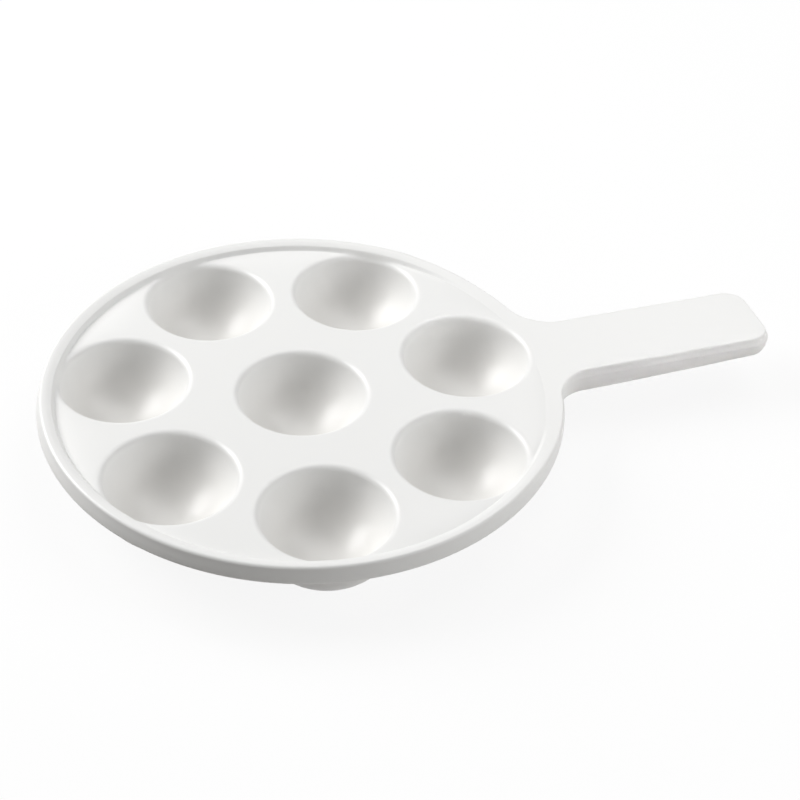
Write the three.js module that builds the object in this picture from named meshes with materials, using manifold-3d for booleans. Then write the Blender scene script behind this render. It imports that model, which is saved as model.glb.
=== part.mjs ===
// Escargot dish: a round glazed ceramic plate with eight half-round wells, a low soft rim and a flat handle.
// Lengths are millimetres and +Z is up. The origin is on the table, under the middle well, and +X runs
// along the handle. The clay body is divided into the pieces that a maker would form and lute together.
import * as THREE from 'three';
import { mergeVertices } from 'three/addons/utils/BufferGeometryUtils.js';
import Module from 'manifold-3d';

const wasm = await Module();
wasm.setup();

// Driving dimensions of the wells
const RING_WELLS = 7;
const WELL_PHASE_DEG = 4; // turn of the ring of wells away from the handle's axis
const BOWL_RADIUS = 22.6; // inside of a well, a part of a sphere
const BOWL_RISE = 2; // the sphere's centre lies this far above the deck
const WELL_WALL = 4;
const WELL_GAP = 3; // between neighbouring cups, at the deck's underside
const LIP_ROUND = 2;
const FOOT_RADIUS = 7;

// Driving dimensions of the plate
const DECK_THICKNESS = 4.5;
const DECK_LOWER_ROUND = 2.2;
const RIM_WIDTH = 6.85;
const RIM_RISE = 1.8; // from the rim's foot out to the inner edge of its broad crest
const RIM_SHOULDER = 0.9; // share of the rim's height that it has there
const RIM_ROLL = 1.6; // radius of the roll outside the crest
const LIP_BITE = 1.7; // the lips run this far past the rim's foot, which gives way to them
const RIM_HEIGHT = 2.5;
const RIM_END_HEIGHT = 0.5;
const RIM_FADE_DEG = 12; // turn over which the rim sinks towards the handle

// Driving dimensions of the handle
const HANDLE_REACH = 85; // from the plate's edge to the tip
const HANDLE_WIDTH = 32;
const HANDLE_ROOT_THICKNESS = 10;
const HANDLE_TIP_THICKNESS = 8;
const HANDLE_EDGE_ROUND = 2.6;
const TIP_CORNER = 8;
const ROOT_FILLET = 17;
const ROOT_LAP = 4; // reach of the handle's root under the plate's edge
const ROOT_SPARE = 8; // the handle's blank runs in this far past its root, and is cut back to it
const EAR_BITE = 0.8; // the fillets run this far into the plate's outline, so that they end bluntly

// Clearance of a luted joint whose faces aren't level, and overlap of cutting tools
const LUTE_GAP = 0.3;
const CUT_MARGIN = 1;
const WELD = 1e-4; // corners closer than this are one corner

// Facets
const PLATE_SEGMENTS = 96;
const WELL_SEGMENTS = 32;
const BOWL_STEPS = 5;
const LIP_STEPS = 3;
const ROUND_STEPS = 3;
const RIM_STEPS = 4;
const CORNER_STEPS = 7;

// Colour of the glaze
const GLAZE = { color: 0xf2f2f0, roughness: 0.28, metalness: 0 };

// Sizes that follow from the driving dimensions
const radians = THREE.MathUtils.degToRad;
const legOf = (hypotenuse, leg) => Math.sqrt(hypotenuse ** 2 - leg ** 2);
const cupRadius = BOWL_RADIUS + WELL_WALL;
const sphereHeight = legOf(cupRadius, FOOT_RADIUS);
const deckTop = sphereHeight - BOWL_RISE;
const deckBottom = deckTop - DECK_THICKNESS;
const bowlTopRadius = legOf(BOWL_RADIUS, sphereHeight - deckBottom);
const cupTopRadius = legOf(cupRadius, sphereHeight - deckBottom);
const wellPitch = 2 * cupTopRadius + WELL_GAP;
const ringRadius = wellPitch * Math.max(1, 1 / (2 * Math.sin(Math.PI / RING_WELLS)));
const lipCentre = new THREE.Vector2(legOf(BOWL_RADIUS + LIP_ROUND, BOWL_RISE + LIP_ROUND), deckTop - LIP_ROUND);
const rimFoot = ringRadius + lipCentre.x - LIP_BITE;
const plateRadius = rimFoot + RIM_WIDTH;
const rollRadius = plateRadius - RIM_ROLL;
const tipX = plateRadius + HANDLE_REACH;
const halfWidth = HANDLE_WIDTH / 2;
const lapRadius = plateRadius - ROOT_LAP;
const earRadius = plateRadius - EAR_BITE;
const filletCentre = new THREE.Vector2(
  legOf(earRadius + ROOT_FILLET, halfWidth + ROOT_FILLET),
  halfWidth + ROOT_FILLET,
);
const earAngle = filletCentre.angle();

// Points on an arc about a centre, from one angle to another
function arc(centre, radius, from, to, steps) {
  const points = [];
  for (let i = 0; i <= steps; i += 1) {
    const angle = from + ((to - from) * i) / steps;
    points.push(new THREE.Vector2(centre.x + radius * Math.cos(angle), centre.y + radius * Math.sin(angle)));
  }
  return points;
}

// A closed solid turned about the Z axis from a profile of radius and height
function turned(profile, segments) {
  const geometry = new THREE.LatheGeometry(profile, segments);
  return geometry.rotateX(Math.PI / 2);
}

// Merges shared corners, and drops the triangles that shrink to a line on an axis
function welded(geometry) {
  geometry.deleteAttribute('normal');
  geometry.deleteAttribute('uv');
  const merged = mergeVertices(geometry, WELD);
  const corners = merged.index.array;
  const kept = [];
  for (let i = 0; i < corners.length; i += 3) {
    const [a, b, c] = corners.slice(i, i + 3);
    if (a !== b && b !== c && c !== a) {
      kept.push(a, b, c);
    }
  }
  merged.setIndex(kept);
  return merged;
}

// Boolean solid from a closed geometry
function solid(geometry) {
  const merged = welded(geometry);
  const mesh = new wasm.Mesh({
    numProp: 3,
    vertProperties: new Float32Array(merged.attributes.position.array),
    triVerts: new Uint32Array(merged.index.array),
  });
  return new wasm.Manifold(mesh);
}

// Geometry from a boolean solid
function geometryOf(manifold) {
  const mesh = manifold.getMesh();
  const geometry = new THREE.BufferGeometry();
  geometry.setAttribute('position', new THREE.BufferAttribute(mesh.vertProperties, 3));
  geometry.setIndex(new THREE.BufferAttribute(mesh.triVerts, 1));
  return geometry;
}

// Where the wells stand: one in the middle, the others in a ring
const middle = new THREE.Vector2(0, 0);
const ringPlaces = [];
for (let i = 0; i < RING_WELLS; i += 1) {
  const angle = radians(WELL_PHASE_DEG) + (2 * Math.PI * i) / RING_WELLS;
  ringPlaces.push(new THREE.Vector2(ringRadius * Math.cos(angle), ringRadius * Math.sin(angle)));
}
const wellPlaces = [middle, ...ringPlaces];

// Round slab with an eased lower edge. A margin makes it the tool that clears a luting gap around it.
function slab(margin) {
  const lower = new THREE.Vector2(plateRadius - DECK_LOWER_ROUND, deckBottom + DECK_LOWER_ROUND);
  const edge = arc(lower, DECK_LOWER_ROUND + margin, -Math.PI / 2, 0, ROUND_STEPS);
  const top = deckTop + (margin > 0 ? RIM_HEIGHT : 0);
  return turned([
    new THREE.Vector2(0, deckBottom - margin),
    ...edge,
    new THREE.Vector2(plateRadius + margin, top),
    new THREE.Vector2(0, top),
  ], PLATE_SEGMENTS);
}

// Tool that sinks one mouth through the deck: a throat that meets the cup below, widening to a rounded lip
function mouthTool() {
  const sphereCentre = new THREE.Vector2(0, sphereHeight);
  const lipAngle = lipCentre.clone().sub(sphereCentre).angle() - 2 * Math.PI;
  const below = deckBottom - CUT_MARGIN;
  const lip = arc(lipCentre, LIP_ROUND, lipAngle + Math.PI, Math.PI / 2, LIP_STEPS);
  const above = deckTop + CUT_MARGIN;
  return turned([
    new THREE.Vector2(0, below),
    new THREE.Vector2(bowlTopRadius, below),
    new THREE.Vector2(bowlTopRadius, deckBottom),
    ...lip,
    new THREE.Vector2(lipCentre.x, above),
    new THREE.Vector2(0, above),
  ], WELL_SEGMENTS);
}

// The deck: the slab, pierced by a mouth at every well
function deckGeometry() {
  let deck = solid(slab(0));
  for (const place of wellPlaces) {
    deck = deck.subtract(solid(mouthTool().translate(place.x, place.y, 0)));
  }
  return geometryOf(deck);
}

// One cup under the deck: a bowl of even wall, cut off level at the deck's underside and flat at its foot
function wellGeometry() {
  const centre = new THREE.Vector2(0, sphereHeight);
  const topDrop = sphereHeight - deckBottom;
  const inside = arc(centre, BOWL_RADIUS, -Math.PI / 2, -Math.asin(topDrop / BOWL_RADIUS), BOWL_STEPS);
  const outside = arc(
    centre,
    cupRadius,
    -Math.asin(topDrop / cupRadius),
    -Math.acos(FOOT_RADIUS / cupRadius),
    BOWL_STEPS,
  );
  inside[0].x = 0;
  outside.at(-1).y = 0;
  const profile = [...inside, ...outside, new THREE.Vector2(0, 0)];
  return welded(turned(profile.reverse(), WELL_SEGMENTS));
}

// The rim's section above the deck, as offset from the start of its outer roll and share of its height
function rimSection() {
  const points = [];
  for (let i = 0; i <= RIM_STEPS; i += 1) {
    const part = i / RIM_STEPS;
    const share = RIM_SHOULDER * THREE.MathUtils.smoothstep(part, 0, 1);
    points.push(new THREE.Vector2(rimFoot - rollRadius + RIM_RISE * part, share));
  }
  const drop = RIM_ROLL / RIM_HEIGHT;
  const roll = new THREE.EllipseCurve(0, 1 - drop, RIM_ROLL, drop, Math.PI / 2, 0, true);
  return [...points, ...roll.getPoints(ROUND_STEPS), new THREE.Vector2(RIM_ROLL, 0)];
}

// Radius of the rim's foot at an angle, pushed out where a mouth's lip runs past the foot's own line
function footRadius(angle) {
  const reach = lipCentre.x + LUTE_GAP;
  let radius = rimFoot;
  for (const place of ringPlaces) {
    const along = ringRadius * Math.cos(angle - place.angle());
    const aside = ringRadius * Math.sin(angle - place.angle());
    if (along > 0 && Math.abs(aside) < reach) {
      radius = Math.max(radius, along + legOf(reach, aside));
    }
  }
  return radius;
}

// The rim: its section carried round the plate from one side of the handle to the other, sinking at both ends
function rimGeometry() {
  const section = rimSection();
  const span = 2 * Math.PI - 2 * earAngle;
  const steps = Math.round((PLATE_SEGMENTS * span) / (2 * Math.PI));
  const positions = [];
  const faces = [];
  for (let i = 0; i <= steps; i += 1) {
    const angle = earAngle + (span * i) / steps;
    const fromEnd = Math.min(angle - earAngle, 2 * Math.PI - earAngle - angle);
    const swell = THREE.MathUtils.smoothstep(fromEnd, 0, radians(RIM_FADE_DEG));
    const height = THREE.MathUtils.lerp(RIM_END_HEIGHT, RIM_HEIGHT, swell);
    const squeeze = (rollRadius - footRadius(angle)) / (rollRadius - rimFoot);
    for (const point of section) {
      const radius = rollRadius + point.x * (point.x < 0 ? squeeze : 1);
      positions.push(radius * Math.cos(angle), radius * Math.sin(angle), deckTop + height * point.y);
    }
  }
  const count = section.length;
  for (let i = 0; i < steps; i += 1) {
    for (let j = 0; j < count; j += 1) {
      const a = i * count + j;
      const b = i * count + ((j + 1) % count);
      faces.push(a, b, a + count, b, b + count, a + count);
    }
  }
  const corner = count - 1;
  const last = steps * count;
  for (let j = 0; j < corner - 1; j += 1) {
    faces.push(corner, j + 1, j);
    faces.push(last + corner, last + j, last + j + 1);
  }
  const geometry = new THREE.BufferGeometry();
  geometry.setAttribute('position', new THREE.Float32BufferAttribute(positions, 3));
  geometry.setIndex(faces);
  return geometry;
}

// Outline of the handle's blank from above, with the fillets at its root and the rounded corners at its tip.
// It runs in past the root, which is cut to the plate afterwards.
function handleOutline() {
  const outline = new THREE.Shape();
  const blankRadius = lapRadius - ROOT_SPARE;
  const cornerX = tipX - TIP_CORNER;
  const cornerY = halfWidth - TIP_CORNER;
  outline.absarc(0, 0, blankRadius, earAngle, -earAngle, true);
  outline.absarc(filletCentre.x, -filletCentre.y, ROOT_FILLET, Math.PI - earAngle, Math.PI / 2, true);
  outline.absarc(cornerX, -cornerY, TIP_CORNER, -Math.PI / 2, 0, false);
  outline.absarc(cornerX, cornerY, TIP_CORNER, 0, Math.PI / 2, false);
  outline.absarc(filletCentre.x, filletCentre.y, ROOT_FILLET, -Math.PI / 2, earAngle - Math.PI, true);
  outline.closePath();
  return outline;
}

// The handle: its outline thickened with round edges, thinner towards the tip, and let in against the plate
function handleGeometry() {
  const edgeRound = Math.min(HANDLE_EDGE_ROUND, HANDLE_ROOT_THICKNESS / 2 - LUTE_GAP);
  const blank = new THREE.ExtrudeGeometry(handleOutline(), {
    depth: HANDLE_ROOT_THICKNESS - 2 * edgeRound,
    steps: 1,
    curveSegments: CORNER_STEPS,
    bevelEnabled: true,
    bevelSize: edgeRound,
    bevelThickness: edgeRound,
    bevelOffset: -edgeRound,
    bevelSegments: ROUND_STEPS,
  });
  blank.translate(0, 0, edgeRound - HANDLE_ROOT_THICKNESS);
  const position = blank.attributes.position;
  for (let i = 0; i < position.count; i += 1) {
    const along = THREE.MathUtils.clamp((position.getX(i) - plateRadius) / HANDLE_REACH, 0, 1);
    const thickness = THREE.MathUtils.lerp(HANDLE_ROOT_THICKNESS, HANDLE_TIP_THICKNESS, along);
    position.setZ(i, deckTop + (position.getZ(i) * thickness) / HANDLE_ROOT_THICKNESS);
  }
  const core = turned([
    new THREE.Vector2(0, 0),
    new THREE.Vector2(lapRadius, 0),
    new THREE.Vector2(lapRadius, deckTop),
    new THREE.Vector2(0, deckTop),
  ], PLATE_SEGMENTS);
  let handle = solid(blank).subtract(solid(slab(LUTE_GAP))).subtract(solid(core));
  for (const place of ringPlaces) {
    const cup = new THREE.SphereGeometry(cupRadius + LUTE_GAP, WELL_SEGMENTS, WELL_SEGMENTS / 2);
    handle = handle.subtract(solid(cup.translate(place.x, place.y, sphereHeight)));
  }
  return geometryOf(handle);
}

// One named piece with its own glaze
function piece(name, geometry) {
  const mesh = new THREE.Mesh(geometry, new THREE.MeshStandardMaterial(GLAZE));
  mesh.name = name;
  return mesh;
}

const dish = new THREE.Group();
dish.add(piece('deck', deckGeometry()));
dish.add(piece('rim', rimGeometry()));
dish.add(piece('handle', handleGeometry()));
wellPlaces.forEach((place, i) => {
  const well = piece(i === 0 ? 'well_centre' : `well_${i}`, wellGeometry());
  well.position.set(place.x, place.y, 0);
  dish.add(well);
});

export default dish;
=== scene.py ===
"""Escargot dish: the glazed looks of a round serving dish with eight wells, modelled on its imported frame.

The real dish is one glazed body. Its pieces meet here along shared rings, with a thin strip at each side of a
ring that keeps the shading level, so that no line shows where two pieces are luted together.
Lengths are metres. +X runs along the handle, +Z is up and the origin is on the table under the middle well.
"""
import math

import bmesh
import bpy
from mathutils import Matrix, Vector


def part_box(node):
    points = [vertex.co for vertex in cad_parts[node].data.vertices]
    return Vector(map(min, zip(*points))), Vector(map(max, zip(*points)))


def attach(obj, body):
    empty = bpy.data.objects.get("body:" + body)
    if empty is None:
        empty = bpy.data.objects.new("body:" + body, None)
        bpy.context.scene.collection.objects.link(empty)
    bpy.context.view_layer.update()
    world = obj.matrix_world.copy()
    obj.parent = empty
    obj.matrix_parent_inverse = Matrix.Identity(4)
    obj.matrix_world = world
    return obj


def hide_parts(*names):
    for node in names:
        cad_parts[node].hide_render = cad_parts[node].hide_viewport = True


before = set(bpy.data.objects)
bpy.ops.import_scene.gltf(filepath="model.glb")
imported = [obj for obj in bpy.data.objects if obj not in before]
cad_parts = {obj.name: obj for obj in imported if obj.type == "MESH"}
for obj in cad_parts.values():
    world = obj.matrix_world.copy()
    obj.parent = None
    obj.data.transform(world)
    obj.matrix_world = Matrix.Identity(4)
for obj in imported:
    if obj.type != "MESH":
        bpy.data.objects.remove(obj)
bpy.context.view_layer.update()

bl_info = {
    "name": "Escargot dish",
    "version": (1, 0, 0),
    "blender": (4, 5, 0),
    "location": "View3D > Sidebar > Dish",
    "description": "Models a glazed escargot dish piece by piece on its packed frame",
    "category": "Object",
}

MM = 0.001

# Sizes and places read from the frame
RING_WELLS = sorted(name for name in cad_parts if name.startswith("well_") and name != "well_centre")
WELL_PLACES = {name: sum(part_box(name), Vector((0, 0, 0))) / 2 for name in RING_WELLS}
deck_low, deck_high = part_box("deck")
rim_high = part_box("rim")[1]
handle_low, handle_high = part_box("handle")

# Facets. The plate has whole steps between the middle of the handle and the ear where its fillet starts.
PLATE_STEPS = 480
EAR_STEPS = 22
EDGE_STEPS = 10
CREST_STEPS = 6
RISE_STEPS = 14
LOWER_STEPS = 8
RAMP_STEPS = 8
FILLET_STEPS = 28
CORNER_STEPS = 18
SIDE_CUTS = 20
TIP_CUTS = 7
WELL_STEPS = 128
BOWL_RINGS = 72
LIP_STEPS = 9
THROAT_STEPS = 5
ROOT_STEPS = 7
FOOT_STEPS = 3

# Thin strips beside shared rings, and how close two points count as one
THIN = 0.05 * MM
TOUCH = 0.002 * MM
SETTLE = 0.03  # the strip at the rim's foot, as a share of its inner rise
LIP_MARGIN = 0.15 * MM  # strip of deck outside a lip that runs past the rim's foot
SMOOTH_ANGLE = math.radians(28)

# Handle's start: the chord between its ears is cut in five, at these shares of half its length
CHORD_CUTS = 4
TIP_SHARE = 0.2
ROOT_SHARE = 0.6

# Glaze: how its painted warm shade deep in the wells, clouds, specks and waves show
# Depth over which the glaze turns to its painted warm shade, deep in the wells
SHADE_DEPTH = 20 * MM
CLOUD_SHARE = 0.25  # how far slow clouds shift the glaze towards the colour of its painted shade
SPECK_COLOUR = (0.35, 0.3, 0.24, 1)
SPECK_STRENGTH = 0.1
SPECKLESS = 0.9  # share of the cells that have no speck
GLOSS_DRIFT = 0.03
SHORT_WAVES = 0.12  # height of the short waves beside the long ones

# Bare feet: how far the glaze line wanders and thins out, and the clay that it leaves
LINE_WANDER = 0.5 * MM
LINE_EASE = 0.12 * MM
CLAY_SHADE = 0.82  # darkest clay as a share of its colour
CLAY_ROUGHNESS = 0.85

# Stage
WHITE = (1, 1, 1, 1)
FLOOR_SIZE = 6
SENSOR_WIDTH = 36  # mm
VIEW_END = 20
AIM_HEIGHT = 20 * MM
DISH_AIM = 30 * MM  # where the broad lamps point, along the handle's axis
HANDLE_AIM = 138 * MM  # where the narrow lamp points


def length(name, description, default, least=0.0):
    """A size or place in metres that a user may change."""
    return bpy.props.FloatProperty(
        name=name, description=description, default=default, min=least, precision=5,
        unit="LENGTH", subtype="DISTANCE",
    )


def angle(name, description, degrees):
    """A turn that a user may change, given in degrees."""
    return bpy.props.FloatProperty(
        name=name, description=description, default=math.radians(degrees), subtype="ANGLE",
    )


def colour(name, description, default):
    """A linear colour that a user may change."""
    return bpy.props.FloatVectorProperty(
        name=name, description=description, default=default, size=3, min=0.0, max=1.0, subtype="COLOR",
    )


def share(name, description, default):
    """A part of the whole that a user may change."""
    return bpy.props.FloatProperty(name=name, description=description, default=default, min=0.0, max=1.0)


def watts(name, description, default):
    """A lamp's power that a user may change."""
    return bpy.props.FloatProperty(
        name=name, description=description, default=default, min=0.0, precision=3, unit="POWER",
    )


class PlateSizes(bpy.types.PropertyGroup):
    """Sizes of the deck and its rim."""

    radius: length("Radius", "Middle of the plate to its widest line", deck_high.x)
    deck_top: length("Deck top", "Height of the deck over the table", deck_high.z)
    deck_bottom: length("Deck bottom", "Height of the deck's underside over the table", deck_low.z)
    widest_drop: length("Widest drop", "Deck's top down to the widest line of the edge", 2.6 * MM)
    edge_drop: length("Edge drop", "Deck's top down to where its rounded edge ends", 1.3 * MM)
    lower_round: length("Lower round", "Reach of the rounding under the edge", 2.2 * MM)
    rim_width: length("Rim width", "Outside of the rim to its inner foot", 6.85 * MM)
    draft: length("Draft", "Reach of the edge's upright wall inwards, up to its roll", 0.2 * MM)
    rim_roll: length("Rim roll", "Widest line inwards to the rim's broad crest, past the roll", 1.1 * MM)
    lean: length("Lean", "Reach by which the wall leans further in where the rim stands", 0.9 * MM)
    spread: length("Spread", "Reach by which the roll is broader where the rim stands", 0.4 * MM)
    rim_rise: length("Rim rise", "Inner foot of the rim to the inner edge of its crest", 1.8 * MM)
    shoulder: share("Shoulder", "Share of the rim's height at the inner edge of its crest", 0.55)
    rim_height: length("Rim height", "Crest of the rim over the deck", rim_high.z - deck_high.z)
    fade: angle("Fade", "Turn over which the rim sinks towards the handle", 36)


class WellSizes(bpy.types.PropertyGroup):
    """Sizes of the wells, which are all alike."""

    bowl_radius: length("Bowl radius", "Inside of a well, a part of a sphere", 22.6 * MM)
    bowl_rise: length("Bowl rise", "Height of the sphere's middle over the deck", 2 * MM)
    wall: length("Wall", "Thickness of a cup", 4.4 * MM)
    lip_round: length("Lip round", "Radius of the mouth's rounded lip", 2.6 * MM)
    root_round: length("Root round", "Radius of the fillet between a cup and the deck", 1.2 * MM)
    foot_round: length("Foot round", "Reach of the easing round a foot", 0.8 * MM)


class HandleSizes(bpy.types.PropertyGroup):
    """Sizes of the handle and of the plate's swelling at its root."""

    tip: length("Tip", "Middle of the plate to the tip", handle_high.x)
    width: length("Width", "Across the handle", 32 * MM)
    root_depth: length("Root depth", "Thickness at the root", deck_high.z - handle_low.z)
    tip_depth: length("Tip depth", "Thickness at the tip", 8 * MM)
    tip_corner: length("Tip corner", "Radius of the tip's corners", 8 * MM)
    ledge: length("Ledge", "Depth of the fine ledge along the edge, where the mould's halves meet", 0.6 * MM)
    ledge_rise: length("Ledge rise", "Rise of the ledge towards the upper skin", 0.7 * MM)
    ledge_start: length("Ledge start", "Plate's edge to where the ledge has come in", 12 * MM)
    fullness: length("Fullness", "Reach by which its lower edges are less rounded than at the tip", 1 * MM)
    swell_reach: length("Swell reach", "Reach of the swelling under the plate's edge", 5 * MM)
    swell_turn: angle("Swell turn", "Turn over which the swelling sinks into the plate", 10)


class GlazeLook(bpy.types.PropertyGroup):
    """Colours and finish of the glaze."""

    white: colour("White", "Glaze where it lies even", (0.79, 0.79, 0.78))
    # Colour of the painted warm shade deep in the wells, mixed into the glaze by depth
    well_shade: colour("Pooled", "Glaze where it has run thick, deep in the wells", (0.79, 0.779, 0.758))
    bare: colour("Bare", "Fired clay on the wiped feet", (0.72, 0.67, 0.6))
    gloss: share("Roughness", "Roughness of the glaze", 0.34)
    peel: length("Peel", "Depth of the glaze's faint waves", 0.012 * MM)
    bare_line: length("Bare line", "Height of the glaze line over the table", 0.45 * MM)


class StageSetup(bpy.types.PropertyGroup):
    """Camera and lights."""

    azimuth: angle("Azimuth", "Turn of the camera round the dish", -20.35)
    elevation: angle("Elevation", "Camera over the horizon", 39.25)
    roll: angle("Roll", "Lean of the camera", 3.1)
    distance: length("Distance", "Camera to the point that it looks at", 0.694)
    lens: bpy.props.FloatProperty(name="Lens", description="Focal length in mm", default=89.2, unit="CAMERA")
    look_x: length("Look X", "Point looked at, along the handle's axis", 0.03164, least=-1.0)
    look_y: length("Look Y", "Point looked at, across the handle's axis", -0.01354, least=-1.0)
    key: watts("Key", "Broad lamp behind the dish on the left", 22.6)
    crown: watts("Crown", "Lamp high over the dish on the right", 4.8)
    front: watts("Front", "Lamp low before the dish", 2.7)
    side: watts("Side", "Lamp before the dish on the right", 2.3)
    grid: watts("Grid", "Narrow lamp that picks out the handle's near side", 0.008)
    bounce: colour("Bounce", "Floor's colour as it lights the dish", (0.36, 0.347, 0.33))
    floor_tone: share("Floor tone", "Floor's own tone where it is seen", 0.9)
    floor_white: share("Floor white", "Part of the seen floor that is plain white and takes no shadow", 0.9)


def plate():
    """Sizes of the plate."""
    return bpy.context.scene.dish_plate


def wells():
    """Sizes of the wells."""
    return bpy.context.scene.dish_wells


def handle():
    """Sizes of the handle."""
    return bpy.context.scene.dish_handle


# Sizes that follow from the others

def step_angle():
    """Turn of one step round the plate."""
    return 2 * math.pi / PLATE_STEPS


def cut_angle():
    """Where the handle's piece ends, one step past the ear of its fillet."""
    return (EAR_STEPS + 1) * step_angle()


def widest():
    """Height of the edge's widest line."""
    return plate().deck_top - plate().widest_drop


def lower_radius():
    """Radius at which the plate's underside starts."""
    return plate().radius - plate().lower_round


def foot_radius():
    """Radius of the rim's inner foot, where the deck's open top ends."""
    return plate().radius - plate().rim_width


def sphere_height():
    """Height of the wells' sphere centres."""
    return plate().deck_top + wells().bowl_rise


def clamp(value):
    """A value kept between 0 and 1."""
    return min(max(value, 0.0), 1.0)


def smooth(value):
    """A soft step from 0 to 1."""
    value = clamp(value)
    return value * value * (3 - 2 * value)


def turn(co):
    """Angle of a point away from the handle's axis."""
    return abs(math.atan2(co.y, co.x))


def reach(co):
    """Distance of a point from the plate's axis."""
    return math.hypot(co.x, co.y)


# Work in edit mode

def add_circle(steps, radius, height, fill):
    """Adds a circle about the plate's axis, selected alone."""
    bpy.ops.mesh.primitive_circle_add(
        vertices=steps, radius=radius, fill_type=fill, location=(0, 0, height), rotation=(0, 0, 0),
    )


def new_piece(name):
    """Starts a piece as a round face at the plate's widest line and opens it for editing."""
    if bpy.context.mode != "OBJECT":
        bpy.ops.object.mode_set(mode="OBJECT")
    bpy.ops.object.select_all(action="DESELECT")
    add_circle(PLATE_STEPS, plate().radius, widest(), "NGON")
    piece = bpy.context.object
    piece.name = name
    piece.data.name = name
    bpy.ops.object.transform_apply(location=True, rotation=True, scale=True)
    bpy.ops.object.mode_set(mode="EDIT")
    return piece


def pick(piece, kind, test, border=False):
    """Selects the points, edges or faces whose corners all pass a test of place, and no others."""
    bpy.ops.mesh.select_mode(type=kind)
    bpy.ops.mesh.select_all(action="DESELECT")
    mesh = bmesh.from_edit_mesh(piece.data)
    parts = {"VERT": mesh.verts, "EDGE": mesh.edges, "FACE": mesh.faces}[kind]
    found = 0
    for part in parts:
        corners = [part] if kind == "VERT" else part.verts
        if border and not (part.is_boundary or part.is_wire):
            continue
        if all(test(corner.co) for corner in corners):
            part.select_set(True)
            found += 1
    mesh.select_flush_mode()
    bmesh.update_edit_mesh(piece.data)
    if not found:
        raise RuntimeError(f"{piece.name}: nothing was found to select")


def at_height(height):
    """A test for points at one height."""
    return lambda co: abs(co.z - height) < TOUCH


def move(x, y):
    """Moves what is selected, keeping its height."""
    bpy.ops.transform.translate(value=(x, y, 0))


def widen(factor):
    """Scales what is selected about the plate's axis, keeping its height."""
    bpy.ops.transform.resize(value=(factor, factor, 1), center_override=(0, 0, 0))


def extrude_faces(drop):
    """Extrudes the selected face straight up or down."""
    bpy.ops.mesh.extrude_region_move(TRANSFORM_OT_translate={"value": (0, 0, drop)})


def extrude_ring(old, new):
    """Extrudes the selected edges from one radius and height to the next, about the plate's axis."""
    bpy.ops.mesh.extrude_edges_move(TRANSFORM_OT_translate={"value": (0, 0, new[1] - old[1])})
    widen(new[0] / old[0])


def inset_rings(points, facing):
    """Carries a profile of inset and height inwards from the selected face, one ring a point."""
    for old, new in zip(points, points[1:]):
        bpy.ops.mesh.inset(
            thickness=new[0] - old[0], depth=facing * (new[1] - old[1]),
            use_boundary=True, use_even_offset=True, use_relative_offset=False,
        )


def slice_across(place, normal, **kept):
    """Cuts what is selected by a plane, exactly where the plane is."""
    bpy.ops.mesh.bisect(plane_co=place, plane_no=normal, threshold=TOUCH / 100, **kept)


def drop_faces():
    """Deletes the selected faces and keeps their edges."""
    bpy.ops.mesh.delete(type="ONLY_FACE")


def push(piece, name, strength, amount):
    """Moves a piece's points up or down with a Displace modifier weighted by their place."""
    group = piece.vertex_groups.new(name=name)
    for vertex in piece.data.vertices:
        group.add([vertex.index], amount(vertex.co), "REPLACE")
    modifier = piece.modifiers.new(name, "DISPLACE")
    modifier.direction = "Z"
    modifier.mid_level = 0
    modifier.strength = strength
    modifier.vertex_group = name
    bpy.ops.object.modifier_apply(modifier=name)
    piece.vertex_groups.clear()


def merge():
    """Joins points that lie on one another, and leaves everything selected."""
    bpy.ops.mesh.select_mode(type="VERT")
    bpy.ops.mesh.select_all(action="SELECT")
    bpy.ops.mesh.remove_doubles(threshold=TOUCH)


def close_edit(piece):
    """Merges doubles, turns the faces outwards and leaves edit mode."""
    merge()
    bpy.ops.mesh.normals_make_consistent(inside=False)
    mesh = bmesh.from_edit_mesh(piece.data)
    open_edges = sum(1 for edge in mesh.edges if not edge.is_manifold)
    bpy.ops.object.mode_set(mode="OBJECT")
    if open_edges:
        raise RuntimeError(f"{piece.name}: {open_edges} edges are open")


def finish_piece(piece, material, node):
    """Smooths a piece, glazes it, and puts it in the place of its node."""
    bpy.ops.object.select_all(action="DESELECT")
    piece.select_set(True)
    bpy.context.view_layer.objects.active = piece
    bpy.ops.object.shade_smooth_by_angle(angle=SMOOTH_ANGLE)
    piece.data.materials.clear()
    piece.data.materials.append(material)
    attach(piece, "root")
    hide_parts(node)


# Profiles

def crest_radius():
    """Radius of the crest's outer edge, before it leans."""
    return plate().radius - plate().rim_roll


def stand(co):
    """How far the rim stands on a point's side of the plate: 0 at the handle, 1 away from it."""
    return smooth((turn(co) - cut_angle() - step_angle()) / plate().fade)


def wall_share(co):
    """How far up the edge's wall a point lies: 0 up to the strip over the widest line, 1 from the roll on."""
    start = widest() + THIN
    return clamp((co.z - start) / (plate().deck_top - plate().edge_drop - start))


def rim_share(co):
    """Share of the rim's height by which a point of the upper skin is raised."""
    size = plate()
    if co.z < widest() + THIN + TOUCH:
        return 0.0
    if reach(co) > crest_radius():
        return wall_share(co) * stand(co)
    out = reach(co) - foot_radius()
    crest = size.rim_width - size.rim_roll
    raised = size.shoulder * smooth(out / size.rim_rise) + (1 - size.shoulder) * smooth(out / crest)
    return raised * stand(co)


def lean_in(co):
    """Distance by which a point of the rim or of a lip that runs into it leans inwards."""
    size = plate()
    if reach(co) > crest_radius():
        up_roll = clamp(1 - (size.deck_top - co.z) / size.edge_drop)
        return (size.lean * wall_share(co) + size.spread * (1 - math.sqrt(1 - up_roll ** 2))) * stand(co)
    out = (reach(co) - foot_radius()) / (crest_radius() - foot_radius())
    depth = (size.deck_top - co.z) / (size.deck_top - size.deck_bottom)
    return (size.lean + size.spread) * smooth(out) * smooth(1 - depth) * stand(co)


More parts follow.
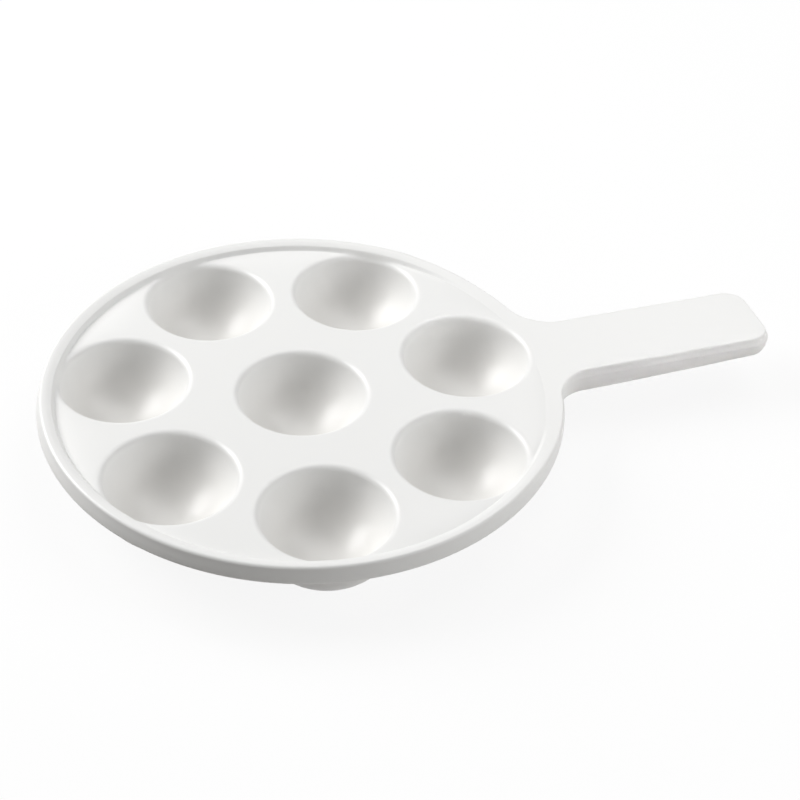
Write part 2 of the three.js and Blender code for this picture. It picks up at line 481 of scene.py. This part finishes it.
def raise_rim(piece):
    """Raises the rim's part of an upper skin, with the lips that run into it, and leans it inwards."""
    leans = [lean_in(vertex.co) for vertex in piece.data.vertices]
    push(piece, "rim", plate().rim_height, rim_share)
    for vertex, inwards in zip(piece.data.vertices, leans):
        if inwards > 0:
            vertex.co.xy *= 1 - inwards / reach(vertex.co)


def upper_edge():
    """Rounded upper edge as inset and height, from the thin strip over the widest line to the rim's foot."""
    size = plate()
    start = widest() + THIN
    points = [(0.0, start), (0.0, start + handle().ledge_rise)]
    for i in range(EDGE_STEPS + 1):
        lean = math.pi / 2 * i / EDGE_STEPS
        height = size.deck_top - size.edge_drop * (1 - math.sin(lean))
        points.append((size.draft + (size.rim_roll - size.draft) * (1 - math.cos(lean)), height))
    flat = size.rim_width - size.rim_roll - size.rim_rise
    places = [size.rim_rise + flat * (1 - i / CREST_STEPS) for i in range(1, CREST_STEPS)]
    places += [size.rim_rise * (1 - i / RISE_STEPS) for i in range(RISE_STEPS)]
    places += [size.rim_rise * SETTLE, 0.0]
    return points + [(size.rim_width - place, size.deck_top) for place in places]


def lower_edge():
    """Rounded lower edge as inset and height, from the thin strip under the widest line to the underside."""
    start = widest() - THIN
    fall = start - plate().deck_bottom
    points = [(0.0, start)]
    for i in range(1, LOWER_STEPS + 1):
        lean = math.pi / 2 * i / LOWER_STEPS
        points.append((plate().lower_round * (1 - math.cos(lean)), start - fall * math.sin(lean)))
    return points


def swell_share(co):
    """Share of the handle root's extra thickness by which a point of the lower skin hangs down."""
    depth = (widest() - co.z) / (widest() - plate().deck_bottom)
    inner = lower_radius() - handle().swell_reach
    ramp = smooth((reach(co) - inner) / handle().swell_reach)
    past = smooth((turn(co) - cut_angle()) / handle().swell_turn)
    deck_depth = plate().deck_top - plate().deck_bottom
    tip_share = (handle().tip_depth - deck_depth) / (handle().root_depth - deck_depth)
    along = clamp((co.x - plate().radius) / (handle().tip - plate().radius))
    taper = 1 + (tip_share - 1) * along
    return clamp(depth) * ramp * (1 - past) * taper


def swell(piece):
    """Lets the lower skin hang down to the handle's thickness."""
    extra = handle().root_depth - (plate().deck_top - plate().deck_bottom)
    push(piece, "swell", -extra, swell_share)


def mouth_profile():
    """A mouth as radius and height: a flat land, the round lip, and the bowl down to the deck's underside."""
    size = wells()
    top = plate().deck_top
    lip = size.lip_round
    lip_x = math.sqrt((size.bowl_radius + lip) ** 2 - (size.bowl_rise + lip) ** 2)
    last = math.atan2(size.bowl_rise + lip, -lip_x)
    points = [(lip_x + THIN, top), (lip_x, top)]
    for i in range(1, LIP_STEPS + 1):
        lean = math.pi / 2 + (last - math.pi / 2) * i / LIP_STEPS
        points.append((lip_x + lip * math.cos(lean), top - lip + lip * math.sin(lean)))
    first_drop = sphere_height() - points[-1][1]
    last_drop = sphere_height() - plate().deck_bottom
    for i in range(1, THROAT_STEPS + 1):
        drop = first_drop + (last_drop - THIN - first_drop) * i / THROAT_STEPS
        points.append((math.sqrt(size.bowl_radius ** 2 - drop ** 2), sphere_height() - drop))
    points.append((math.sqrt(size.bowl_radius ** 2 - last_drop ** 2), plate().deck_bottom))
    return points


def open_radius(co):
    """Radius at which the deck's open top ends on a point's side: the rim's foot, or a lip beyond it."""
    clear = mouth_profile()[0][0] + LIP_MARGIN
    radius = foot_radius()
    for place in WELL_PLACES.values():
        aside = math.atan2(co.y, co.x) - math.atan2(place.y, place.x)
        along = reach(place) * math.cos(aside)
        across = reach(place) * math.sin(aside)
        if along > 0 and abs(across) < clear:
            radius = max(radius, along + math.sqrt(clear ** 2 - across ** 2))
    return radius


def give_way(piece):
    """Pushes the points of the rim's crest and rise outwards where a lip runs past the rim's foot."""
    crest = crest_radius()
    mesh = bmesh.from_edit_mesh(piece.data)
    for vert in mesh.verts:
        radius = reach(vert.co)
        if vert.co.z > plate().deck_top - TOUCH and radius < crest:
            part = (crest - radius) / (crest - foot_radius())
            pushed = crest - part * (crest - open_radius(vert.co))
            vert.co.xy *= pushed / radius
    bmesh.update_edit_mesh(piece.data)


# Materials

def link_nodes(tree):
    """A short way to add nodes and links to a node tree."""
    def add(kind, **values):
        node = tree.nodes.new(kind)
        for key, value in values.items():
            if hasattr(node, key):
                setattr(node, key, value)
            else:
                node.inputs[key.replace("_", " ")].default_value = value
        return node
    return add, tree.links.new


def blank(owner):
    """Clears the nodes of a material or world, and gives the short way to add new ones."""
    owner.use_nodes = True
    owner.node_tree.nodes.clear()
    return link_nodes(owner.node_tree)


def noise(add, link, place, scale, detail):
    """A noise from 0 to 1 on the piece's own coordinates."""
    node = add("ShaderNodeTexNoise", Scale=scale, Detail=detail)
    link(place.outputs["Object"], node.inputs["Vector"])
    return node.outputs["Fac"]


def scaled_sum(add, link, value, factor, base):
    """A value times a plain factor, added to another value."""
    node = add("ShaderNodeMath", operation="MULTIPLY_ADD")
    node.inputs[1].default_value = factor
    link(value, node.inputs[0])
    link(base, node.inputs[2])
    return node.outputs[0]


def mixed(add, link, kind, factor, first, second):
    """A mix of two colours or two numbers. Each of them is a socket or a plain value."""
    node = add("ShaderNodeMix", data_type=kind, clamp_factor=True)
    link(factor, node.inputs["Factor"])
    for name, value in (("A", first), ("B", second)):
        if isinstance(value, bpy.types.NodeSocket):
            link(value, node.inputs[name])
        else:
            node.inputs[name].default_value = value
    return node.outputs["Result"]


def glaze_skin():
    """Node group: the glaze's colour with painted warm shade deep in the wells, its roughness and faint
    waves, alike on every piece.
    """
    tree = bpy.data.node_groups.new("Glaze skin", "ShaderNodeTree")
    face = tree.interface
    for name, kind in (("White", "NodeSocketColor"), ("Pooled", "NodeSocketColor"),
                       ("Roughness", "NodeSocketFloat"), ("Deck height", "NodeSocketFloat")):
        face.new_socket(name, in_out="INPUT", socket_type=kind)
    for name, kind in (("Color", "NodeSocketColor"), ("Roughness", "NodeSocketFloat"),
                       ("Waves", "NodeSocketFloat"), ("Height", "NodeSocketFloat")):
        face.new_socket(name, in_out="OUTPUT", socket_type=kind)
    add, link = link_nodes(tree)
    given = add("NodeGroupInput")
    result = add("NodeGroupOutput")
    place = add("ShaderNodeTexCoord")
    split = add("ShaderNodeSeparateXYZ")
    link(place.outputs["Object"], split.inputs[0])

    # Painted warm shade grows towards the bottom of a well, and slow clouds shift the tone towards it
    depth = add("ShaderNodeMath", operation="SUBTRACT")
    link(given.outputs["Deck height"], depth.inputs[0])
    link(split.outputs["Z"], depth.inputs[1])
    shade_ramp = add("ShaderNodeMapRange", interpolation_type="SMOOTHSTEP", From_Max=SHADE_DEPTH)
    link(depth.outputs[0], shade_ramp.inputs["Value"])
    cloud = noise(add, link, place, scale=38, detail=3)
    shaded = scaled_sum(add, link, cloud, CLOUD_SHARE, shade_ramp.outputs[0])
    body = mixed(add, link, "RGBA", shaded, given.outputs["White"], given.outputs["Pooled"])

    # A few pin specks, far apart and hardly darker than the glaze
    speck = add("ShaderNodeTexVoronoi", Scale=210.0)
    link(place.outputs["Object"], speck.inputs["Vector"])
    dot = add(
        "ShaderNodeMapRange", interpolation_type="SMOOTHSTEP",
        From_Min=0.05, From_Max=0.03, To_Min=0.0, To_Max=SPECK_STRENGTH,
    )
    link(speck.outputs["Distance"], dot.inputs["Value"])
    chosen = add("ShaderNodeSeparateColor")
    link(speck.outputs["Color"], chosen.inputs[0])
    rare = add("ShaderNodeMath", operation="GREATER_THAN")
    rare.inputs[1].default_value = SPECKLESS
    link(chosen.outputs[0], rare.inputs[0])
    shown = add("ShaderNodeMath", operation="MULTIPLY")
    link(dot.outputs[0], shown.inputs[0])
    link(rare.outputs[0], shown.inputs[1])
    link(mixed(add, link, "RGBA", shown.outputs[0], body, SPECK_COLOUR), result.inputs["Color"])

    # Gloss varies a little, and the surface has long and short waves
    gloss = add("ShaderNodeMapRange", To_Min=-GLOSS_DRIFT, To_Max=GLOSS_DRIFT)
    link(noise(add, link, place, scale=120, detail=4), gloss.inputs["Value"])
    rough = add("ShaderNodeMath", operation="ADD")
    link(given.outputs["Roughness"], rough.inputs[0])
    link(gloss.outputs[0], rough.inputs[1])
    link(rough.outputs[0], result.inputs["Roughness"])
    long_wave = noise(add, link, place, scale=70, detail=0)
    short_wave = noise(add, link, place, scale=420, detail=1)
    link(scaled_sum(add, link, short_wave, SHORT_WAVES, long_wave), result.inputs["Waves"])
    link(split.outputs["Z"], result.inputs["Height"])
    return tree


def wipe_feet(add, link, coat):
    """Colour and roughness of a glaze that ends in a wandering line, with fired clay below it."""
    look = bpy.context.scene.dish_glaze
    place = add("ShaderNodeTexCoord")
    wobble = noise(add, link, place, scale=160, detail=2)
    glazed = add(
        "ShaderNodeMapRange", interpolation_type="SMOOTHSTEP",
        From_Min=look.bare_line, From_Max=look.bare_line + LINE_EASE,
    )
    link(scaled_sum(add, link, wobble, LINE_WANDER, coat.outputs["Height"]), glazed.inputs["Value"])
    dark_clay = (*[CLAY_SHADE * part for part in look.bare], 1)
    grain = noise(add, link, place, scale=900, detail=5)
    clay = mixed(add, link, "RGBA", grain, dark_clay, (*look.bare, 1))
    tone = mixed(add, link, "RGBA", glazed.outputs[0], clay, coat.outputs["Color"])
    rough = mixed(add, link, "FLOAT", glazed.outputs[0], CLAY_ROUGHNESS, coat.outputs["Roughness"])
    return tone, rough


def glaze_material(name, skin, bare_feet):
    """White glaze. On the wells it stops short of the table and leaves the wiped feet bare."""
    look = bpy.context.scene.dish_glaze
    material = bpy.data.materials.new(name)
    add, link = blank(material)
    out = add("ShaderNodeOutputMaterial")
    body = add("ShaderNodeBsdfPrincipled", IOR=1.5, Metallic=0.0)
    link(body.outputs[0], out.inputs["Surface"])
    # The group mixes in the painted warm shade colour deep in the wells
    coat = add(
        "ShaderNodeGroup", node_tree=skin, White=(*look.white, 1), Pooled=(*look.well_shade, 1),
        Roughness=look.gloss, Deck_height=plate().deck_top,
    )
    bump = add("ShaderNodeBump", Distance=look.peel, Strength=1.0)
    link(coat.outputs["Waves"], bump.inputs["Height"])
    link(bump.outputs[0], body.inputs["Normal"])
    tone, rough = coat.outputs["Color"], coat.outputs["Roughness"]
    if bare_feet:
        tone, rough = wipe_feet(add, link, coat)
    link(tone, body.inputs["Base Color"])
    link(rough, body.inputs["Roughness"])
    return material


def glaze(name, bare_feet=False):
    """The named glaze, made when it is first asked for."""
    skin = bpy.data.node_groups.get("Glaze skin") or glaze_skin()
    return bpy.data.materials.get(name) or glaze_material(name, skin, bare_feet)


class DISH_OT_deck(bpy.types.Operator):
    """Round deck pierced by eight round-lipped mouths, swelling below where the handle joins it"""

    bl_idname = "dish.deck"
    bl_label = "Deck"

    def execute(self, context):
        top = plate().deck_top
        bottom = plate().deck_bottom
        piece = new_piece("deck_glazed")

        # Lower edge and the rings of the swelling, from the face that looks down
        bpy.ops.mesh.select_all(action="SELECT")
        bpy.ops.mesh.flip_normals()
        extrude_faces(-THIN)
        lower = lower_edge()
        inner = lower[-1][0]
        ramp = [(inner + handle().swell_reach * i / RAMP_STEPS, bottom) for i in range(1, RAMP_STEPS + 1)]
        inset_rings(lower + ramp, -1)
        drop_faces()

        # Slope under the rim, up to the deck's open top
        pick(piece, "FACE", at_height(widest()))
        bpy.ops.mesh.normals_make_consistent(inside=False)
        inset_rings([(0.0, widest()), (plate().rim_width, top)], 1)
        drop_faces()
        give_way(piece)

        # One mouth, copied to every well
        mouth = mouth_profile()
        bpy.ops.mesh.select_all(action="DESELECT")
        add_circle(WELL_STEPS, mouth[0][0], top, "NGON")
        inset_rings([(mouth[0][0] - radius, height) for radius, height in mouth], 1)
        drop_faces()
        pick(piece, "VERT", lambda co: reach(co) < mouth[0][0] + TOUCH)
        last = Vector((0, 0, 0))
        for place in WELL_PLACES.values():
            bpy.ops.mesh.duplicate_move(
                TRANSFORM_OT_translate={"value": (place.x - last.x, place.y - last.y, 0)},
            )
            last = place

        # Flat top and underside between the mouths
        for height in (top, bottom):
            pick(piece, "EDGE", at_height(height), border=True)
            bpy.ops.mesh.fill(use_beauty=True)
        close_edit(piece)
        swell(piece)
        raise_rim(piece)
        finish_piece(piece, glaze("white_glaze"), "deck")
        return {"FINISHED"}


class DISH_OT_rim(bpy.types.Operator):
    """Low soft rim on the deck's edge, which fades out at both sides of the handle"""

    bl_idname = "dish.rim"
    bl_label = "Rim"

    def execute(self, context):
        piece = new_piece("rim_glazed")
        bpy.ops.mesh.select_all(action="SELECT")
        extrude_faces(THIN)
        inset_rings(upper_edge(), 1)
        drop_faces()
        pick(piece, "FACE", at_height(widest()))
        drop_faces()

        # Room for the handle, then the slope that lies on the deck and the two ends
        pick(piece, "VERT", lambda co: turn(co) < cut_angle() - step_angle() / 2)
        bpy.ops.mesh.delete(type="VERT")
        pick(piece, "EDGE", lambda co: abs(reach(co) - foot_radius()) < TOUCH, border=True)
        extrude_ring((foot_radius(), plate().deck_top), (plate().radius, widest()))
        merge()
        near_end = cut_angle() + step_angle() / 2
        for side in (1, -1):
            pick(piece, "EDGE", lambda co: side * co.y > 0 and turn(co) < near_end, border=True)
            bpy.ops.mesh.edge_face_add()
        give_way(piece)
        close_edit(piece)
        raise_rim(piece)
        finish_piece(piece, glaze("white_glaze"), "rim")
        return {"FINISHED"}


def draw_handle(piece):
    """Draws the handle's outline out of the plate's circle, with fillets at its root and round corners."""
    half = handle().width / 2
    ear = EAR_STEPS * step_angle()
    ear_y = plate().radius * math.sin(ear)
    fillet = (ear_y - half) / (1 - math.sin(ear))
    tangent = fillet * math.tan((math.pi / 2 - ear) / 2)
    root_x = plate().radius * math.cos(ear) + tangent * math.sin(ear)
    pick(piece, "VERT", lambda co: turn(co) < ear - step_angle() / 2)
    bpy.ops.mesh.dissolve_verts()
    pick(piece, "EDGE", lambda co: turn(co) < ear + step_angle() / 2)
    bpy.ops.mesh.subdivide(number_cuts=CHORD_CUTS)
    chord_x = plate().radius * math.cos(ear)
    for part, x in ((TIP_SHARE, handle().tip), (ROOT_SHARE, root_x)):
        for side in (1, -1):
            drawn_from = side * part * ear_y
            pick(piece, "VERT", lambda co: abs(co.y - drawn_from) < TOUCH and abs(co.x - chord_x) < TOUCH)
            move(x - chord_x, side * half - drawn_from)
    pick(piece, "VERT", lambda co: abs(abs(co.y) - half) < TOUCH and abs(co.x - root_x) < TOUCH)
    bpy.ops.mesh.bevel(
        affect="VERTICES", offset_type="ABSOLUTE", offset=tangent, segments=FILLET_STEPS, clamp_overlap=True,
    )
    pick(piece, "VERT", lambda co: abs(abs(co.y) - half) < TOUCH and abs(co.x - handle().tip) < TOUCH)
    bpy.ops.mesh.bevel(
        affect="VERTICES", offset_type="ABSOLUTE", offset=handle().tip_corner, segments=CORNER_STEPS,
    )
    merge()
    for side in (1, -1):
        pick(piece, "EDGE", lambda co: abs(co.y - side * half) < TOUCH)
        bpy.ops.mesh.subdivide(number_cuts=SIDE_CUTS)
    pick(piece, "EDGE", lambda co: abs(co.x - handle().tip) < TOUCH)
    bpy.ops.mesh.subdivide(number_cuts=TIP_CUTS)


def straighten_ear(piece):
    """Puts the rings' points at the ears back on one line from the middle, off which the insets drift."""
    ear = EAR_STEPS * step_angle()
    mesh = bmesh.from_edit_mesh(piece.data)
    for vert in mesh.verts:
        if abs(turn(vert.co) - ear) < step_angle() / 2:
            radius = reach(vert.co)
            vert.co.x = radius * math.cos(ear)
            vert.co.y = math.copysign(radius * math.sin(ear), vert.co.y)
    bmesh.update_edit_mesh(piece.data)


def side_inset(co):
    """Distance by which the handle's sides go in at a point: behind the ledge above it, outwards below it."""
    size = handle()
    root = plate().radius
    past = smooth((co.x - root) / size.ledge_start)
    if co.z > widest() + THIN + TOUCH:
        return size.ledge * past
    start = widest() - THIN
    depth = clamp((start - co.z) / (start - plate().deck_bottom))
    along = (co.x - root) / (size.tip - root)
    return -size.fullness * (1 - math.sqrt(1 - depth ** 2)) * past * (1 - smooth(along * along))


def trim_sides(piece):
    """Sets the handle's upper skin back behind a fine ledge, and fills out its lower edges."""
    root = plate().radius
    for vertex in piece.data.vertices:
        if vertex.co.x > root:
            inwards = side_inset(vertex.co)
            along = (vertex.co.x - root) / (handle().tip - root)
            vertex.co.x -= inwards * along
            vertex.co.y *= 1 - 2 * inwards / handle().width


def on_circle(co, ring):
    """True on a circle of the given radius and height."""
    return abs(reach(co) - ring[0]) < TOUCH and abs(co.z - ring[1]) < TOUCH


def on_rim_end(co):
    """True where the handle's piece ends against the rim, outside the rim's foot."""
    return turn(co) > cut_angle() - step_angle() / 2 and reach(co) > foot_radius() + TOUCH


class DISH_OT_handle(bpy.types.Operator):
    """Flat handle with soft edges, filleted into the plate and thinner towards its tip"""

    bl_idname = "dish.handle"
    bl_label = "Handle"

    def execute(self, context):
        top = plate().deck_top
        bottom = plate().deck_bottom
        piece = new_piece("handle_glazed")
        draw_handle(piece)

        # Upper and lower edges
        bpy.ops.mesh.select_all(action="SELECT")
        extrude_faces(THIN)
        inset_rings(upper_edge(), 1)
        drop_faces()
        pick(piece, "FACE", at_height(widest()))
        bpy.ops.mesh.normals_make_consistent(inside=False)
        extrude_faces(-THIN)
        lower = lower_edge()
        inset_rings(lower, -1)
        drop_faces()

        # The plate's side of the outline goes, below the widest line from the ear on
        straighten_ear(piece)
        ear = (EAR_STEPS + 0.5) * step_angle()
        pick(piece, "VERT", lambda co: turn(co) > (ear if co.z < widest() - THIN / 2 else ear + step_angle()))
        bpy.ops.mesh.delete(type="VERT")

        # Wall of the root, which lies against the deck
        bpy.ops.mesh.select_mode(type="VERT")
        bpy.ops.mesh.select_all(action="DESELECT")
        add_circle(PLATE_STEPS, foot_radius(), top, "NOTHING")
        pick(piece, "VERT", lambda co: turn(co) > ear + step_angle())
        bpy.ops.mesh.delete(type="VERT")
        merge()
        wall = [(foot_radius(), top), (plate().radius, widest())]
        wall += [(plate().radius - inset, height) for inset, height in lower]
        pick(piece, "EDGE", lambda co: on_circle(co, wall[0]), border=True)
        extrude_ring(wall[0], wall[1])
        merge()
        pick(piece, "EDGE", lambda co: on_circle(co, wall[1]), border=True)
        for old, new in zip(wall[1:], wall[2:]):
            extrude_ring(old, new)
        merge()
        give_way(piece)

        # Flat top, underside, and the two ends against the rim
        for height in (top, bottom):
            pick(piece, "EDGE", lambda co: abs(co.z - height) < TOUCH and not on_rim_end(co), border=True)
            bpy.ops.mesh.edge_face_add()
        for side in (1, -1):
            pick(piece, "EDGE", lambda co: side * co.y > 0, border=True)
            bpy.ops.mesh.edge_face_add()
        pick(piece, "FACE", at_height(bottom))
        slice_across((plate().radius, 0, 0), (1, 0, 0))
        close_edit(piece)
        trim_sides(piece)
        swell(piece)
        finish_piece(piece, glaze("white_glaze"), "handle")
        return {"FINISHED"}


def model_well():
    """One cup about the plate's axis: a bowl, a dome with a flat foot, and a fillet up to the deck."""
    size = wells()
    bottom = plate().deck_bottom
    centre = (0, 0, sphere_height())
    dome = size.bowl_radius + size.wall
    drop = sphere_height() - bottom
    fillet_x = math.sqrt((dome + size.root_round) ** 2 - (drop + size.root_round) ** 2)
    joined = sphere_height() - dome * (drop + size.root_round) / (dome + size.root_round)
    bpy.ops.object.select_all(action="DESELECT")
    bpy.ops.mesh.primitive_uv_sphere_add(
        segments=WELL_STEPS, ring_count=BOWL_RINGS, radius=size.bowl_radius, location=centre,
    )
    piece = bpy.context.object
    bpy.ops.object.transform_apply(location=True, rotation=True, scale=True)
    bpy.ops.object.mode_set(mode="EDIT")
    bpy.ops.mesh.select_all(action="SELECT")
    slice_across((0, 0, bottom), (0, 0, 1), clear_outer=True)
    bpy.ops.mesh.select_all(action="SELECT")
    slice_across((0, 0, bottom - THIN), (0, 0, 1))
    bpy.ops.mesh.select_all(action="DESELECT")
    bpy.ops.mesh.primitive_uv_sphere_add(
        segments=WELL_STEPS, ring_count=BOWL_RINGS, radius=dome, location=centre,
    )
    slice_across((0, 0, joined), (0, 0, 1), clear_outer=True)
    pick(piece, "FACE", lambda co: (co - Vector(centre)).length > dome - size.wall / 2)
    slice_across((0, 0, 0), (0, 0, 1), clear_inner=True, use_fill=True)

    # Fillet from the dome out to the deck's underside
    pick(piece, "EDGE", at_height(joined), border=True)
    first = math.atan2(drop + size.root_round, -fillet_x)
    rings = []
    for i in range(ROOT_STEPS + 1):
        lean = first + (math.pi / 2 - first) * i / ROOT_STEPS
        rings.append((
            fillet_x + size.root_round * math.cos(lean),
            bottom - size.root_round + size.root_round * math.sin(lean),
        ))
    rings.append((math.sqrt(size.bowl_radius ** 2 - drop ** 2), bottom))
    for old, new in zip(rings, rings[1:]):
        extrude_ring(old, new)
    merge()
    pick(piece, "EDGE", at_height(0.0))
    bpy.ops.mesh.bevel(affect="EDGES", offset=size.foot_round, segments=FOOT_STEPS)
    close_edit(piece)
    return piece


class DISH_OT_wells(bpy.types.Operator):
    """Eight half-round cups under the deck, one in the middle and seven in a ring, each with a bare foot"""

    bl_idname = "dish.wells"
    bl_label = "Wells"

    def execute(self, context):
        first = model_well()
        first.name = "well_centre_glazed"
        first.data.name = first.name
        cups = [("well_centre", first)]
        for name, place in WELL_PLACES.items():
            bpy.ops.object.select_all(action="DESELECT")
            first.select_set(True)
            context.view_layer.objects.active = first
            bpy.ops.object.duplicate(linked=False)
            cup = context.object
            cup.name = f"{name}_glazed"
            cup.data.name = cup.name
            move(place.x, place.y)
            bpy.ops.object.transform_apply(location=True, rotation=True, scale=True)
            cups.append((name, cup))
        for name, cup in cups:
            finish_piece(cup, glaze("white_glaze_bare_feet", bare_feet=True), name)
        return {"FINISHED"}


def seen_rays(add, link):
    """A value of 1 for the rays that show the background, and 0 for those that light the dish."""
    rays = add("ShaderNodeLightPath")
    either = add("ShaderNodeMath", operation="MAXIMUM")
    link(rays.outputs["Is Camera Ray"], either.inputs[0])
    link(rays.outputs["Is Glossy Ray"], either.inputs[1])
    seen = add("ShaderNodeMath", operation="MAXIMUM")
    link(either.outputs[0], seen.inputs[0])
    link(rays.outputs["Is Transmission Ray"], seen.inputs[1])
    return seen.outputs[0]


def make_floor():
    """Floor that shows nearly white and keeps a faint shadow, and throws little light back up."""
    setup = bpy.context.scene.dish_stage
    bpy.ops.object.select_all(action="DESELECT")
    bpy.ops.mesh.primitive_plane_add(size=FLOOR_SIZE, location=(0, 0, 0))
    floor = bpy.context.object
    floor.name = "floor"
    material = bpy.data.materials.new("pale_floor")
    add, link = blank(material)
    out = add("ShaderNodeOutputMaterial")
    seen = seen_rays(add, link)
    seen_tone = (setup.floor_tone, setup.floor_tone, setup.floor_tone, 1)
    diffuse = add("ShaderNodeBsdfDiffuse")
    link(mixed(add, link, "RGBA", seen, (*setup.bounce, 1), seen_tone), diffuse.inputs["Color"])
    amount = add("ShaderNodeMath", operation="MULTIPLY")
    amount.inputs[1].default_value = setup.floor_white
    link(seen, amount.inputs[0])
    white = add("ShaderNodeEmission", Strength=1.0, Color=WHITE)
    mix = add("ShaderNodeMixShader")
    link(amount.outputs[0], mix.inputs[0])
    link(diffuse.outputs[0], mix.inputs[1])
    link(white.outputs[0], mix.inputs[2])
    link(mix.outputs[0], out.inputs["Surface"])
    floor.data.materials.append(material)


def make_world():
    """White where it is seen or mirrored. It gives no other light."""
    world = bpy.data.worlds.new("studio")
    bpy.context.scene.world = world
    add, link = blank(world)
    out = add("ShaderNodeOutputWorld")
    white = add("ShaderNodeBackground", Color=WHITE)
    link(seen_rays(add, link), white.inputs["Strength"])
    link(white.outputs[0], out.inputs["Surface"])


def bearing(azimuth, elevation):
    """Direction from the dish towards a place round it. Azimuth 0 is before the dish."""
    return Vector((
        math.sin(azimuth) * math.cos(elevation),
        -math.cos(azimuth) * math.cos(elevation),
        math.sin(elevation),
    ))


def add_lamp(name, power, azimuth, elevation, away, size, aim_x=DISH_AIM, spread=180, mirrored=True):
    """A soft lamp turned towards a point on the handle's axis, which the glaze mirrors or not."""
    towards = bearing(math.radians(azimuth), math.radians(elevation))
    bpy.ops.object.light_add(type="AREA", location=Vector((aim_x, 0, AIM_HEIGHT)) + away * towards)
    lamp = bpy.context.object
    lamp.name = name
    lamp.data.shape = "RECTANGLE"
    lamp.data.size, lamp.data.size_y = size
    lamp.data.energy = power
    lamp.data.spread = math.radians(spread)
    lamp.visible_glossy = mirrored
    lamp.rotation_euler = (-towards).to_track_quat("-Z", "Y").to_euler()


def add_camera():
    """Camera at the photograph's angle."""
    setup = bpy.context.scene.dish_stage
    look = Vector((setup.look_x, setup.look_y, plate().deck_top))
    back = bearing(setup.azimuth, setup.elevation)
    side = Vector((math.cos(setup.azimuth), math.sin(setup.azimuth), 0))
    rise = back.cross(side)
    right = math.cos(setup.roll) * side + math.sin(setup.roll) * rise
    up = back.cross(right)
    bpy.ops.object.camera_add()
    camera = bpy.context.object
    camera.name = "photo_camera"
    camera.data.lens = setup.lens
    camera.data.sensor_width = SENSOR_WIDTH
    camera.data.clip_end = VIEW_END
    turned = Matrix((right, up, back)).transposed().to_4x4()
    camera.matrix_world = Matrix.Translation(look + setup.distance * back) @ turned
    bpy.context.scene.camera = camera


class DISH_OT_stage(bpy.types.Operator):
    """Pale floor, soft studio light and the camera"""

    bl_idname = "dish.stage"
    bl_label = "Stage"

    def execute(self, context):
        context.scene.view_settings.view_transform = "Standard"
        make_floor()
        make_world()
        setup = context.scene.dish_stage
        add_lamp("key", setup.key, azimuth=231, elevation=35, away=1.4, size=(0.98, 0.84))
        add_lamp("crown", setup.crown, azimuth=120, elevation=60, away=1, size=(0.8, 0.8))
        strip = (0.7, 0.3)
        add_lamp("front", setup.front, azimuth=30, elevation=10, away=1, size=strip, mirrored=False)
        add_lamp("side", setup.side, azimuth=52, elevation=24, away=1, size=strip, mirrored=False)
        add_lamp(
            "grid", setup.grid, azimuth=5, elevation=8, away=0.9, size=(0.1, 0.06),
            aim_x=HANDLE_AIM, spread=12,
        )
        add_camera()
        return {"FINISHED"}


class DISH_PT_sidebar(bpy.types.Panel):
    """Lists the sizes and the pieces"""

    bl_idname = "DISH_PT_sidebar"
    bl_label = "Escargot dish"
    bl_space_type = "VIEW_3D"
    bl_region_type = "UI"
    bl_category = "Dish"

    def draw(self, context):
        layout = self.layout
        for group in ("dish_plate", "dish_wells", "dish_handle", "dish_glaze", "dish_stage"):
            settings = getattr(context.scene, group)
            box = layout.box()
            for name in settings.bl_rna.properties.keys():
                if name not in ("rna_type", "name"):
                    box.prop(settings, name)
        for operator in PIECES:
            layout.operator(operator.bl_idname)


PIECES = (DISH_OT_deck, DISH_OT_rim, DISH_OT_handle, DISH_OT_wells, DISH_OT_stage)
GROUPS = {
    "dish_plate": PlateSizes,
    "dish_wells": WellSizes,
    "dish_handle": HandleSizes,
    "dish_glaze": GlazeLook,
    "dish_stage": StageSetup,
}


def register():
    for group in GROUPS.values():
        bpy.utils.register_class(group)
    for name, group in GROUPS.items():
        setattr(bpy.types.Scene, name, bpy.props.PointerProperty(type=group))
    for item in (*PIECES, DISH_PT_sidebar):
        bpy.utils.register_class(item)


def unregister():
    for item in (DISH_PT_sidebar, *reversed(PIECES)):
        bpy.utils.unregister_class(item)
    for name in GROUPS:
        delattr(bpy.types.Scene, name)
    for group in reversed(list(GROUPS.values())):
        bpy.utils.unregister_class(group)


def main():
    register()
    bpy.ops.dish.deck()
    bpy.ops.dish.rim()
    bpy.ops.dish.handle()
    bpy.ops.dish.wells()
    bpy.ops.dish.stage()


if __name__ == "__main__":
    main()
